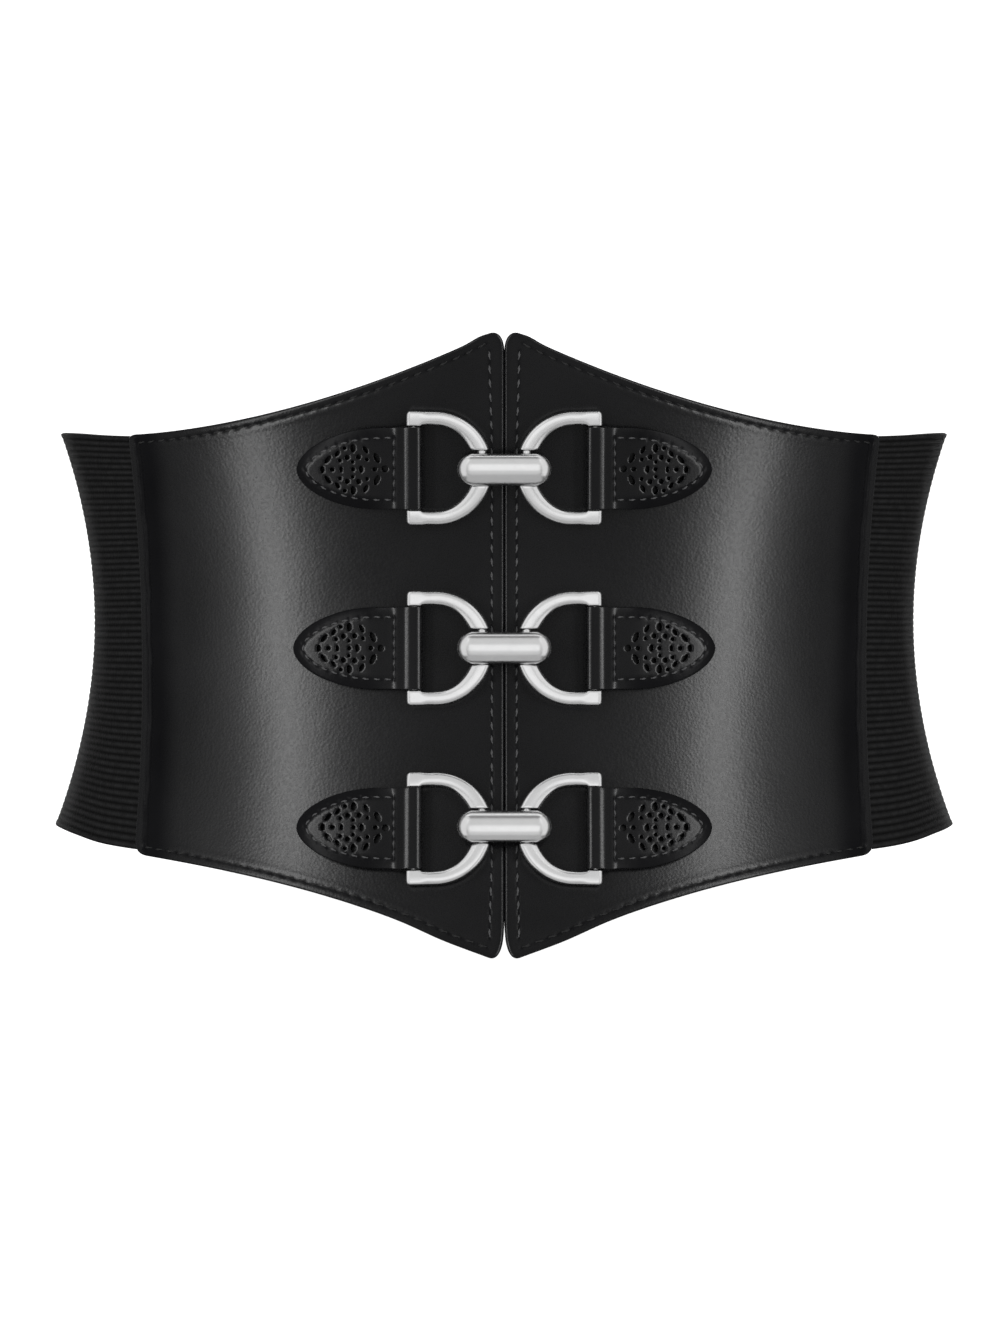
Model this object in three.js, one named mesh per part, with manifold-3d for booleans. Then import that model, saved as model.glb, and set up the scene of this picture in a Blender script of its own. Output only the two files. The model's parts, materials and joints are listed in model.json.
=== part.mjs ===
// Corset belt in its worn form: two leather front panels, a wide elastic band round the sides
// and back, and three closures down the front, each two pierced leather tabs, two cast rings
// and a link bar. Millimetres, +Z up, the front faces -Y and +X is at the viewer's right.
// The origin lies on the axis of the waist opening, level with the middle closure.
import * as THREE from 'three';
import { mergeVertices } from 'three/addons/utils/BufferGeometryUtils.js';
import Module from 'manifold-3d';

const wasm = await Module();
wasm.setup();

// Waist: level ellipses, narrowest at waistLevel, that grow by the flares flareSpan away from it.
const waistHalfWidth = 130.2;
const waistHalfDepth = 88;
const waistLevel = 9;
const flareSpan = 60;
const sideFlare = 10.6;
const frontFlare = 6.5;

// Elastic band, worn against the waist, with its front ends sewn behind the panels.
const elasticThickness = 1.5;
const elasticWidth = 127;
const seamOverlap = 12;
const seamGap = 0.4;

// Front panels. The heights are measured from the middle closure.
const panelThickness = 2;
const panelWidth = 124.6;
const panelSideTop = 66.7;
const panelPointTop = 97.2;
const panelSideBottom = 63.6;
const panelPointBottom = 96.2;
const frontGap = 0.4;
const topCornerWidth = 4.5;
const topCornerDrop = 6.9;
const bottomCornerWidth = 4.2;
const bottomCornerDrop = 6.5;

// Closures: straps folded round the rings' spines, and the rings' pins behind the link bars.
const closureSpacing = 55;
const strapThickness = 1;
const strapWidth = 24.8;
const strapGap = 0.3;
const layerGap = 0.25;
const tabLength = 37;
const tabPointLength = 25;
const loopSlope = 27;
const spineRadius = 1.1;
const spineClearance = 0.3;
const wireWidth = 4.1;
const wireDepth = 3.3;
const wireBevel = 0.9;
const footHeight = 4.7;
const footWidth = 3.6;
const footClearance = 0.3;
const ringLegLength = 8.4;
const pinSpacing = 13.5;
const pinRadius = 1.15;
const pinClearance = 0.3;
const pinCover = 0.3;
const lugWall = 1.2;
const lugGap = 0.35;
const lugLength = 6.5;
const barLength = 28.5;
const barWidth = 9.7;
const barDepth = 3.6;
const barGap = 0.95;

// Facet counts.
const panelColumns = 14;
const panelRows = 10;
const bandColumns = 36;
const bandRows = 8;
const arcFacets = 4;
const loopFacets = 6;
const plateFacets = 3;
const pinFacets = 8;
const barFacets = 10;
const outlineFacets = 4;

// The panels' long edges: how much of the rise from seam to point runs straight, and how
// sharply the rest of it turns up towards the point.
const edgeCurves = {
  top: { straight: 0, power: 1.82 },
  bottom: { straight: 0.483, power: 2.48 },
};

// The panels' outer edge: arc width as a share of panelWidth, at shares of the side height.
const seamRows = [
  { height: 0, width: 0.972 },
  { height: 0.25, width: 0.985 },
  { height: 0.5, width: 1 },
  { height: 1, width: 1.007 },
];

// The elastic band from the front seams (50 degrees from the centre front) to the back: height
// of its middle and its upright span, as shares of elasticWidth.
const bandRowsByAngle = [
  { degrees: 50, middle: 0.0125, span: 1.006 },
  { degrees: 65, middle: 0.026, span: 0.993 },
  { degrees: 75, middle: 0.0435, span: 0.987 },
  { degrees: 90, middle: 0.0535, span: 0.977 },
  { degrees: 120, middle: 0.0425, span: 0.983 },
  { degrees: 150, middle: 0.031, span: 0.996 },
  { degrees: 180, middle: 0.0275, span: 1 },
];

// The closures: level as a share of closureSpacing, and tab length as a share of tabLength.
const closures = [
  { name: 'upper', level: 1, length: 0.94 },
  { name: 'middle', level: 0, length: 1 },
  { name: 'lower', level: -1, length: 0.935 },
];

// Pierced holes of a tab: place along it from the tip as a share of tabLength and across it as
// a share of half the strap's width, length and width as shares of strapWidth, and lean in
// degrees of the long side from the tab's axis. A hole with across above 0 has a twin below.
const piercings = [
  { along: 0.18, across: 0, long: 0.088, wide: 0.052, lean: 90 },
  { along: 0.265, across: 0, long: 0.052, wide: 0.052, lean: 0 },
  { along: 0.505, across: 0, long: 0.088, wide: 0.052, lean: 90 },
  { along: 0.62, across: 0, long: 0.058, wide: 0.05, lean: 0 },
  { along: 0.7, across: 0, long: 0.08, wide: 0.08, lean: 0 },
  { along: 0.225, across: 0.25, long: 0.12, wide: 0.048, lean: 48 },
  { along: 0.39, across: 0.3, long: 0.062, wide: 0.062, lean: 0 },
  { along: 0.485, across: 0.3, long: 0.062, wide: 0.062, lean: 0 },
  { along: 0.44, across: 0.52, long: 0.105, wide: 0.064, lean: 90 },
  { along: 0.635, across: 0.28, long: 0.13, wide: 0.064, lean: -65 },
];
const piercedFacets = 6;

// Sizes that follow from those above.
const bandOuter = elasticThickness;
const panelInner = bandOuter + seamGap;
const panelOuter = panelInner + panelThickness;
const ringHalfHeight = strapWidth / 2 + footClearance + footHeight;
const armMiddle = ringHalfHeight - wireWidth / 2;
const armCut = barWidth / 2 + barGap;
const armReach = Math.sqrt(armMiddle ** 2 - armCut ** 2);
const ringSpan = armReach + ringLegLength - footWidth / 2;
const pinX = pinSpacing / 2;
const pinHole = pinRadius + pinClearance;
const lugRadius = pinHole + lugWall;
const pinHeight = lugRadius + lugGap;
const barBack = pinHeight + pinHole + pinCover;
const loopInner = spineRadius + spineClearance;
const loopOuter = loopInner + strapThickness;
const frontBulge = frontFlare * (strapWidth / 2 / flareSpan) ** 2;
const spineHeight = loopOuter + strapGap + frontBulge;
const lowerLayer = { low: strapGap, high: strapGap + strapThickness };
const upperLayer = { low: lowerLayer.high + layerGap, high: lowerLayer.high + layerGap + strapThickness };

const { lerp, degToRad, smoothstep } = THREE.MathUtils;

// Half width and half depth of the worn form at a height, with a lift off the waist.
function halfWidth(height, lift) {
  return waistHalfWidth + lift + sideFlare * ((height - waistLevel) / flareSpan) ** 2;
}

function halfDepth(height, lift) {
  return waistHalfDepth + lift + frontFlare * ((height - waistLevel) / flareSpan) ** 2;
}

function onWaist(angle, height, lift) {
  const x = halfWidth(height, lift) * Math.sin(angle);
  const y = -halfDepth(height, lift) * Math.cos(angle);
  return new THREE.Vector3(x, y, height);
}

// Angle from the centre front of the point that lies a given length round the level ellipse.
function angleAlong(length, height, lift) {
  const steps = 24;
  const step = length / steps;
  const wide = halfWidth(height, lift);
  const deep = halfDepth(height, lift);
  let angle = 0;
  for (let i = 0; i < steps; i += 1) {
    const half = angle + step / 2 / Math.hypot(wide * Math.cos(angle), deep * Math.sin(angle));
    angle += step / Math.hypot(wide * Math.cos(half), deep * Math.sin(half));
  }
  return angle;
}

// Straight-line reading of one column of a table whose rows rise in another column.
function readTable(rows, key, at, column) {
  let upper = 1;
  while (upper < rows.length - 1 && at > rows[upper][key]) upper += 1;
  const low = rows[upper - 1];
  const high = rows[upper];
  const share = THREE.MathUtils.clamp((at - low[key]) / (high[key] - low[key]), 0, 1);
  return lerp(low[column], high[column], share);
}

function moveVertices(geometry, place) {
  const position = geometry.getAttribute('position');
  const vertex = new THREE.Vector3();
  for (let i = 0; i < position.count; i += 1) {
    vertex.fromBufferAttribute(position, i);
    const placed = place(vertex.x, vertex.y, vertex.z);
    position.setXYZ(i, placed.x, placed.y, placed.z);
  }
  return geometry;
}

// Geometry with its shared vertices merged and only its positions left.
function welded(geometry) {
  const bare = geometry.clone();
  bare.deleteAttribute('normal');
  bare.deleteAttribute('uv');
  return mergeVertices(bare, 1e-4);
}

// The same shape on the other side of the centre front, with its faces still pointing out.
function mirrored(geometry) {
  const copy = welded(geometry);
  moveVertices(copy, (x, y, z) => new THREE.Vector3(-x, y, z));
  const index = copy.getIndex();
  for (let i = 0; i < index.count; i += 3) {
    const second = index.getX(i + 1);
    index.setX(i + 1, index.getX(i + 2));
    index.setX(i + 2, second);
  }
  return copy;
}

function toSolid(geometry) {
  const closed = welded(geometry);
  const vertProperties = new Float32Array(closed.getAttribute('position').array);
  const triVerts = new Uint32Array(closed.getIndex().array);
  return new wasm.Manifold(new wasm.Mesh({ numProp: 3, vertProperties, triVerts }));
}

function toGeometry(solid) {
  const mesh = solid.getMesh();
  const geometry = new THREE.BufferGeometry();
  geometry.setAttribute('position', new THREE.BufferAttribute(mesh.vertProperties, 3));
  geometry.setIndex(new THREE.BufferAttribute(mesh.triVerts, 1));
  return geometry;
}

// Front panel at the viewer's right.
function edgeHeight(side, point, curve, toSeam) {
  const turned = curve.straight * toSeam + (1 - curve.straight) * toSeam ** curve.power;
  return side + (point - side) * turned;
}

function cornerDrop(distance, width, drop) {
  if (distance >= width) return 0;
  return drop * (1 - Math.sqrt(1 - (1 - distance / width) ** 2));
}

function panelHeight(share, rowShare) {
  const seen = (height) => {
    const here = Math.sin(angleAlong(share * panelWidth, height, panelOuter));
    return here / Math.sin(angleAlong(panelWidth, height, panelOuter));
  };
  const distance = share * panelWidth;
  const topLine = edgeHeight(panelSideTop, panelPointTop, edgeCurves.top, 1 - seen(panelSideTop));
  const top = topLine - cornerDrop(distance, topCornerWidth, topCornerDrop);
  const bottomShare = 1 - seen(-panelSideBottom);
  const bottomLine = edgeHeight(panelSideBottom, panelPointBottom, edgeCurves.bottom, bottomShare);
  const bottom = -bottomLine + cornerDrop(distance, bottomCornerWidth, bottomCornerDrop);
  return lerp(bottom, top, rowShare);
}

function panelGeometry() {
  const crowding = 1.5;
  const grid = new THREE.BoxGeometry(1, 1, 1, panelColumns, panelRows, 1);
  return moveVertices(grid, (x, y, z) => {
    const share = (x + 0.5) ** crowding;
    const rowShare = y + 0.5;
    const height = panelHeight(share, rowShare);
    const width = panelWidth * readTable(seamRows, 'height', rowShare, 'width');
    const length = lerp(frontGap / 2, width, share);
    const angle = angleAlong(length, height, panelOuter);
    return onWaist(angle, height, z > 0 ? panelOuter : panelInner);
  });
}

// Elastic band, from behind the right panel round the back to behind the left one.
function bandGeometry() {
  const grid = new THREE.BoxGeometry(1, 1, 1, bandColumns, bandRows, 1);
  const seamLength = panelWidth - seamOverlap;
  return moveVertices(grid, (x, y, z) => {
    const share = x + 0.5;
    const levelSeam = angleAlong(seamLength, waistLevel, bandOuter);
    const levelAngle = lerp(levelSeam, 2 * Math.PI - levelSeam, share);
    const degrees = THREE.MathUtils.radToDeg(Math.PI - Math.abs(Math.PI - levelAngle));
    const middle = elasticWidth * readTable(bandRowsByAngle, 'degrees', degrees, 'middle');
    const span = elasticWidth * readTable(bandRowsByAngle, 'degrees', degrees, 'span');
    const height = middle + y * span;
    const seam = angleAlong(seamLength, height, bandOuter);
    const angle = lerp(seam, 2 * Math.PI - seam, share);
    return onWaist(angle, height, z > 0 ? bandOuter : 0);
  });
}

// Where a closure sits: its level, the lean of the front there, and the rings' set-back.
function closureSeat(closure) {
  const level = closure.level * closureSpacing;
  const slope = 2 * frontFlare * (level - waistLevel) / flareSpan ** 2;
  const lean = Math.atan(slope);
  const spineX = pinX + ringSpan;
  const spineAngle = Math.asin(spineX / halfWidth(level, panelOuter));
  const fall = halfDepth(level, panelOuter) * (1 - Math.cos(spineAngle)) * Math.cos(lean);
  const setBack = Math.asin((pinHeight - spineHeight + fall) / ringSpan);
  const wide = halfWidth(level, panelOuter);
  const deep = halfDepth(level, panelOuter);
  const spineLength = spineAngle * Math.hypot(wide * Math.cos(spineAngle / 2), deep * Math.sin(spineAngle / 2));
  const origin = new THREE.Vector3(0, -deep, level);
  return { level, lean, setBack, spineLength, origin };
}

// A point of the right tab: along is measured from the ring's spine towards the tip, across
// up from the closure's level, and high out from the panel's face. Round the spine the strap
// is straight, as the ring is, and towards the tip it lies on the curved panel.
function onTab(seat, along, across, high) {
  const run = ringSpan + along;
  const rise = high - spineHeight;
  const front = -pinHeight + run * Math.sin(seat.setBack) - rise * Math.cos(seat.setBack);
  const side = pinX + run * Math.cos(seat.setBack) + rise * Math.sin(seat.setBack);
  const rigid = new THREE.Vector3(side, front, across);
  rigid.applyAxisAngle(new THREE.Vector3(1, 0, 0), seat.lean).add(seat.origin);

  const height = seat.level + across * Math.cos(seat.lean);
  const angle = angleAlong(seat.spineLength + along, height, panelOuter);
  const wide = halfWidth(height, panelOuter);
  const deep = halfDepth(height, panelOuter);
  const growth = 2 * (height - waistLevel) / flareSpan ** 2;
  const tilt = wide * frontFlare * Math.cos(angle) ** 2 + deep * sideFlare * Math.sin(angle) ** 2;
  const normal = new THREE.Vector3(deep * Math.sin(angle), -wide * Math.cos(angle), -growth * tilt);
  const laid = onWaist(angle, height, panelOuter).addScaledVector(normal.normalize(), high);

  const bendStart = loopOuter;
  const bendEnd = 3 * loopOuter;
  return rigid.lerp(laid, smoothstep(along, bendStart, bendEnd));
}

// Side view of the folded strap, as a shape with x along the tab and y out from the panel.
function strapProfile(length) {
  const points = [];
  const slope = degToRad(loopSlope);
  const liftOff = Math.PI / 2 - slope;
  const turn = degToRad(270) - liftOff;
  const plate = (start, high, outward) => {
    for (let i = 0; i <= plateFacets; i += 1) {
      const share = outward ? i / plateFacets : 1 - i / plateFacets;
      points.push(new THREE.Vector2(lerp(start, length + strapThickness, share), high));
    }
  };
  const loop = (radius, from, sweep) => {
    for (let i = 0; i <= loopFacets; i += 1) {
      const angle = from + sweep * i / loopFacets;
      const high = spineHeight + radius * Math.sin(angle);
      points.push(new THREE.Vector2(radius * Math.cos(angle), high));
    }
  };
  const landing = (radius, high) => {
    const drop = spineHeight + radius * Math.sin(liftOff) - high;
    return radius * Math.cos(liftOff) + drop / Math.tan(slope);
  };
  const lowerStart = 1.3 * loopOuter;
  plate(lowerStart, lowerLayer.low, false);
  loop(loopOuter, degToRad(270), -turn);
  plate(landing(loopOuter, upperLayer.high), upperLayer.high, true);
  plate(landing(loopInner, upperLayer.low), upperLayer.low, false);
  loop(loopInner, liftOff, turn);
  plate(lowerStart, lowerLayer.high, true);
  return new THREE.Shape(points);
}

// Half width of the tab's outline at a distance from its tip.
function tabHalfWidth(fromTip) {
  const share = Math.min(1, fromTip / tabPointLength);
  return strapWidth / 2 * (1 - (1 - share) ** 1.8) ** 0.55;
}

// Outline of the tab's pointed end, with x measured from the middle of its length.
function tabOutline(length) {
  const upperEdge = [new THREE.Vector2(-length, strapWidth / 2)];
  for (let i = outlineFacets; i >= 1; i -= 1) {
    const fromTip = tabPointLength * (i / outlineFacets) ** 2;
    upperEdge.push(new THREE.Vector2(length / 2 - fromTip, tabHalfWidth(fromTip)));
  }
  const lowerEdge = upperEdge.map((point) => new THREE.Vector2(point.x, -point.y)).reverse();
  return new THREE.Shape([...upperEdge, new THREE.Vector2(length / 2, 0), ...lowerEdge]);
}

// A straight cutter square to the tab at one of its points, from a shape whose x runs along
// the tab and y across it, both measured from that point.
function tabCutter(seat, shape, along, across, low, high) {
  const base = onTab(seat, along, across, low);
  const ahead = onTab(seat, along + 1, across, low).sub(base).normalize();
  const out = onTab(seat, along, across, low + 1).sub(base).normalize();
  const up = new THREE.Vector3().crossVectors(out, ahead).normalize();
  ahead.crossVectors(up, out);
  const frame = new THREE.Matrix4().makeBasis(ahead, up, out).setPosition(base);
  const block = new THREE.ExtrudeGeometry(shape, { depth: high - low, bevelEnabled: false });
  return toSolid(block.applyMatrix4(frame));
}

function piercing(hole, side) {
  const points = [];
  const lean = degToRad(hole.lean * side);
  for (let i = 0; i < piercedFacets; i += 1) {
    const angle = 2 * Math.PI * i / piercedFacets;
    const point = new THREE.Vector2(hole.long / 2 * Math.cos(angle), hole.wide / 2 * Math.sin(angle));
    points.push(point.multiplyScalar(strapWidth).rotateAround(new THREE.Vector2(), -lean));
  }
  return new THREE.Shape(points);
}

function tabGeometry(seat, length) {
  const options = { depth: strapWidth, steps: 2, bevelEnabled: false };
  const strap = new THREE.ExtrudeGeometry(strapProfile(length), options);
  moveVertices(strap, (x, y, z) => onTab(seat, x, strapWidth / 2 - z, y));
  const reach = 3 * loopOuter;
  const outline = tabCutter(seat, tabOutline(length), length / 2, 0, -reach, 2 * reach);
  let solid = toSolid(strap).intersect(outline);
  const holeFloor = lowerLayer.high + layerGap / 2;
  for (const hole of piercings) {
    for (const side of hole.across > 0 ? [1, -1] : [1]) {
      const along = length - hole.along * tabLength;
      const across = side * hole.across * strapWidth / 2;
      const cutter = tabCutter(seat, piercing(hole, side), along, across, holeFloor, reach);
      solid = solid.subtract(cutter);
    }
  }
  return toGeometry(solid);
}

// Ring, with its origin on the pin's axis, x towards the spine, z up and its front at -y.
function armShape() {
  const arcX = ringSpan + footWidth / 2 - ringLegLength;
  const inner = ringHalfHeight - wireWidth;
  const points = [
    new THREE.Vector2(ringSpan - footWidth / 2, ringHalfHeight - footHeight),
    new THREE.Vector2(ringSpan + footWidth / 2, ringHalfHeight - footHeight),
    new THREE.Vector2(ringSpan + footWidth / 2, ringHalfHeight),
  ];
  const arc = (radius, share) => {
    const end = Math.asin(armCut / radius);
    const angle = lerp(Math.PI / 2, end, share);
    points.push(new THREE.Vector2(arcX - radius * Math.cos(angle), radius * Math.sin(angle)));
  };
  for (let i = 0; i <= arcFacets; i += 1) arc(ringHalfHeight, i / arcFacets);
  for (let i = 0; i <= arcFacets; i += 1) arc(inner, 1 - i / arcFacets);
  points.push(new THREE.Vector2(ringSpan - footWidth / 2, inner));
  return new THREE.Shape(points);
}

function upright(radius, length, x) {
  const rod = new THREE.CylinderGeometry(radius, radius, length, pinFacets);
  return rod.rotateX(Math.PI / 2).translate(x, 0, 0);
}

function ringGeometry() {
  const options = {
    depth: wireDepth - 2 * wireBevel,
    bevelEnabled: true,
    bevelThickness: wireBevel,
    bevelSize: wireBevel,
    bevelOffset: -wireBevel,
    bevelSegments: 1,
  };
  const arm = new THREE.ExtrudeGeometry(armShape(), options);
  arm.translate(0, 0, -options.depth / 2).rotateX(Math.PI / 2);
  const embedded = wireWidth / 2;
  const spine = upright(spineRadius, 2 * (ringHalfHeight - footHeight) + embedded, ringSpan);
  const pin = upright(pinRadius, 2 * armCut + embedded, 0);
  const upperArm = toSolid(arm);
  const lowerArm = toSolid(arm.clone().rotateX(Math.PI));
  return toGeometry(upperArm.add(lowerArm).add(toSolid(spine)).add(toSolid(pin)));
}

// Link bar, in the closure's frame: a half capsule with an eye and a hook behind it.
function barGeometry() {
  const radius = barWidth / 2;
  const capsule = new THREE.CapsuleGeometry(radius, barLength - barWidth, 3, barFacets);
  capsule.rotateZ(Math.PI / 2).scale(1, barDepth / radius, 1);
  const front = new THREE.BoxGeometry(barLength + barWidth, barWidth, 2 * barWidth);
  front.translate(0, -barWidth / 2, 0);
  let bar = toSolid(capsule).intersect(toSolid(front)).translate([0, -barBack, 0]);
  for (const side of [-1, 1]) {
    const lug = upright(lugRadius, lugLength, side * pinX).translate(0, -pinHeight, 0);
    bar = bar.add(toSolid(lug));
  }
  for (const side of [-1, 1]) {
    const hole = upright(pinHole, barWidth, side * pinX).translate(0, -pinHeight, 0);
    bar = bar.subtract(toSolid(hole));
  }
  const mouth = new THREE.BoxGeometry(lugRadius + lugWall, 2 * pinHole, barWidth);
  mouth.translate(pinX - (lugRadius + lugWall) / 2, -pinHeight, 0);
  return toGeometry(bar.subtract(toSolid(mouth)));
}

const leather = { color: 0x17171a, roughness: 0.5, metalness: 0 };
const elastic = { color: 0x101012, roughness: 0.9, metalness: 0 };
const metal = { color: 0xc9cacc, roughness: 0.28, metalness: 1 };

function piece(name, geometry, look) {
  const mesh = new THREE.Mesh(geometry, new THREE.MeshStandardMaterial({ ...look, flatShading: true }));
  mesh.name = name;
  return mesh;
}

function closureGroup(closure, seat) {
  const group = new THREE.Group();
  group.position.copy(seat.origin);
  group.rotation.x = seat.lean;
  group.add(piece(`link_bar_${closure.name}`, barGeometry(), metal));
  for (const [sideName, side] of [['left', -1], ['right', 1]]) {
    const hinge = new THREE.Group();
    hinge.position.set(side * pinX, -pinHeight, 0);
    hinge.rotation.z = side * seat.setBack;
    const ring = piece(`ring_${sideName}_${closure.name}`, ringGeometry(), metal);
    ring.rotation.y = side < 0 ? Math.PI : 0;
    hinge.add(ring);
    group.add(hinge);
  }
  return group;
}

const belt = new THREE.Group();
const rightPanel = panelGeometry();
belt.add(piece('panel_right', rightPanel, leather));
belt.add(piece('panel_left', mirrored(rightPanel), leather));
belt.add(piece('elastic_band', bandGeometry(), elastic));
for (const closure of closures) {
  const seat = closureSeat(closure);
  const rightTab = tabGeometry(seat, tabLength * closure.length);
  belt.add(piece(`tab_right_${closure.name}`, rightTab, leather));
  belt.add(piece(`tab_left_${closure.name}`, mirrored(rightTab), leather));
  belt.add(closureGroup(closure, seat));
}

export default belt;
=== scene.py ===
import json
import math

import bmesh
import bpy
import numpy as np
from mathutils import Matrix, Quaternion, Vector
from mathutils.geometry import delaunay_2d_cdt

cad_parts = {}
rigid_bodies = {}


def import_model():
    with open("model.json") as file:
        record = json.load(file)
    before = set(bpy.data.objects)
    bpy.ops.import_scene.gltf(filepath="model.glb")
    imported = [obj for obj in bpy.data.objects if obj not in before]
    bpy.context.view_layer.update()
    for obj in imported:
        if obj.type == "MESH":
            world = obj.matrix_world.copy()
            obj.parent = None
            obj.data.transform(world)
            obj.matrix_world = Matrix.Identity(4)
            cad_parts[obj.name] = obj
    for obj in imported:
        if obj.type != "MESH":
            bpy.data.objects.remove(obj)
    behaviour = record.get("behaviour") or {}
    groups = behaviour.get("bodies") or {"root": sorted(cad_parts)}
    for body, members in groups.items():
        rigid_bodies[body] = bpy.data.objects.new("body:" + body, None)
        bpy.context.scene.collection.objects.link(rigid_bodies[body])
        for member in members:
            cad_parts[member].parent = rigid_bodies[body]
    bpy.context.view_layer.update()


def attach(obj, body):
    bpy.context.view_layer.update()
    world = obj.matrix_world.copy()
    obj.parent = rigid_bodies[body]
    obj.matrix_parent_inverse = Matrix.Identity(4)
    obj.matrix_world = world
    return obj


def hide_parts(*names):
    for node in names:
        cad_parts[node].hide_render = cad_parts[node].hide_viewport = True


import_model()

MM = 0.001

# Waist: level ellipses, narrowest at WAIST_LEVEL, that grow by the flares FLARE_SPAN away from it.
WAIST_HALF_WIDTH = 130.2
WAIST_HALF_DEPTH = 88
WAIST_LEVEL = 9
FLARE_SPAN = 60
SIDE_FLARE = 10.6
FRONT_FLARE = 6.5

# Elastic band. Its middle and its height are shares of its width, by degrees round from the front.
ELASTIC_THICKNESS = 1.5
ELASTIC_WIDTH = 127
SEAM_OVERLAP = 12
SEAM_GAP = 0.4
BAND_DEGREES = (50, 65, 75, 90, 120, 150, 180)
BAND_MIDDLES = (0.0085, 0.024, 0.0393, 0.0516, 0.0395, 0.03, 0.0275)
BAND_SPANS = (1.015, 1.006, 0.996, 0.99, 0.989, 0.998, 1)
BAND_COLUMNS = 132
RIB_COUNT = 65
RIB_STEPS = 5
RIB_DEPTH = 0.16
RIB_POWER = 0.7
SELVEDGE_RISE = 0.12
BAND_EDGE = 0.4
BAND_RIPPLE = 0.05
RIPPLES_ROUND = 37
RIPPLE_TWIST = 9
THREADS_ROUND = 190

# Front panels. The heights are measured from the middle closure. A curve has its straight share and
# its power, a corner its width, its drop and its power, and each swell its rise, place and width.
PANEL_THICKNESS = 2
PANEL_WIDTH = 124.6
PANEL_SIDE_TOP = 66.7
PANEL_SIDE_BOTTOM = 63.6
SEAM_HEIGHTS = (0, 0.25, 0.5, 0.75, 1)
SEAM_WIDTHS = (0.984, 0.989, 1, 1.009, 1.02)
SEAM_CORNER_TOP = 2.2
SEAM_CORNER_BOTTOM = 4.6
TOP_EDGE = {
    "sign": 1,
    "side": PANEL_SIDE_TOP,
    "point": 97.2,
    "curve": (0, 1.82),
    "corner": (4.5, 6.9, 2),
    "swells": ((0.55, 7.5, 3),),
    "width": SEAM_WIDTHS[-1],
}
BOTTOM_EDGE = {
    "sign": -1,
    "side": PANEL_SIDE_BOTTOM,
    "point": 96.2,
    "curve": (0.483, 2.48),
    "corner": (5, 12.8, 2.3),
    "swells": ((-0.9, 0, 8), (0.6, 20, 9)),
    "width": SEAM_WIDTHS[0],
}

# How finely a panel is divided: about how long its sides are, the steps near its edges and between
# them, how far in the fine ones reach, and the face's cells under one of the lining's.
PANEL_UPRIGHT = 178
PANEL_LEVEL = 125
FINE_STEP = 0.45
COARSE_STEP = 1.05
FINE_REACH = 6
LINING_CELL = 3
RIM_DEGREES = (20, 42, 66, 90, 118, 150, 180)

# The leather's relief, and the painted shade round its needle holes and on its rims. A pair is a depth and
# how wide it is.
HEM_WIDTH = 4.4
HEM_STEP = 0.3
HEM_FOLD = (0.4, 0.6)
THREAD_GROOVE = (0.04, 0.5)
THREAD_RIDGE = (0.04, 0.8)
NEEDLE_DENT = (0.3, 0.5)
NEEDLE_SHADE = 0.6
# Strength of the painted shade on the panels' rims.
RIM_PAINTED_SHADE = 0.35
WAVE_HEIGHT = 0.06

# Sewing. The spans say where each line starts and ends, by height or by share of the width.
PANEL_PITCH = 4.2
STITCH_SHARES = (0.17, 0.83)
STITCH_INSET = 2.7
EDGE_STITCH_SPAN = (0.045, 0.972)
CENTRE_STITCH = 3.8
CENTRE_STITCH_ENDS = 4.5
CENTRE_STITCH_SPAN = (-88, 90.5)
PANEL_THREAD = 0.3
THREAD_SINK = 0.14
THREAD_LEAN = 0.14
FINE_THREAD = 0.26
ZIGZAG_SPAN = (-58, 61)
ZIGZAG_PITCH = 2.2
ZIGZAG_INSET = 3.5
ZIGZAG_WIDTH = 2.6
ZIGZAG_SHARES = (0.08, 0.92)

# Closures. Each has its name, its level and its tabs' length, as shares of those below.
CLOSURE_SPACING = 55
STRAP_THICKNESS = 1
STRAP_WIDTH = 24.8
STRAP_GAP = 0.3
LAYER_GAP = 0.25
TAB_LENGTH = 37.6
SPINE_RADIUS = 1.1
SPINE_CLEARANCE = 0.3
WIRE_WIDTH = 4.1
WIRE_DEPTH = 3.3
FOOT_HEIGHT = 4.7
FOOT_WIDTH = 3.6
FOOT_CLEARANCE = 0.3
FOOT_PROUD = 0.3
FOOT_CORNER = 1.2
FOOT_POWER = 0.42
RING_LEG_LENGTH = 8.4
ARM_POWER = 0.8
ARM_FULLNESS = 1.05
ARM_SWELL = 1.1
LOWER_ARM_LONGER = 0.8
PIN_SPACING = 13.5
PIN_RADIUS = 1.15
PIN_CLEARANCE = 0.3
PIN_COVER = 0.3
LUG_WALL = 1.2
LUG_GAP = 0.35
LUG_LENGTH = 6.5
LUG_POWER = 0.4
HOOK_DEGREES = 140
BAR_LENGTH = 28.5
BAR_WIDTH = 9.7
BAR_DEPTH = 3.6
BAR_RIM = 0.5
BAR_GAP = 0.95
CLOSURES = (("upper", 1, 0.965), ("middle", 0, 1), ("lower", -1, 0.96))

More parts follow.
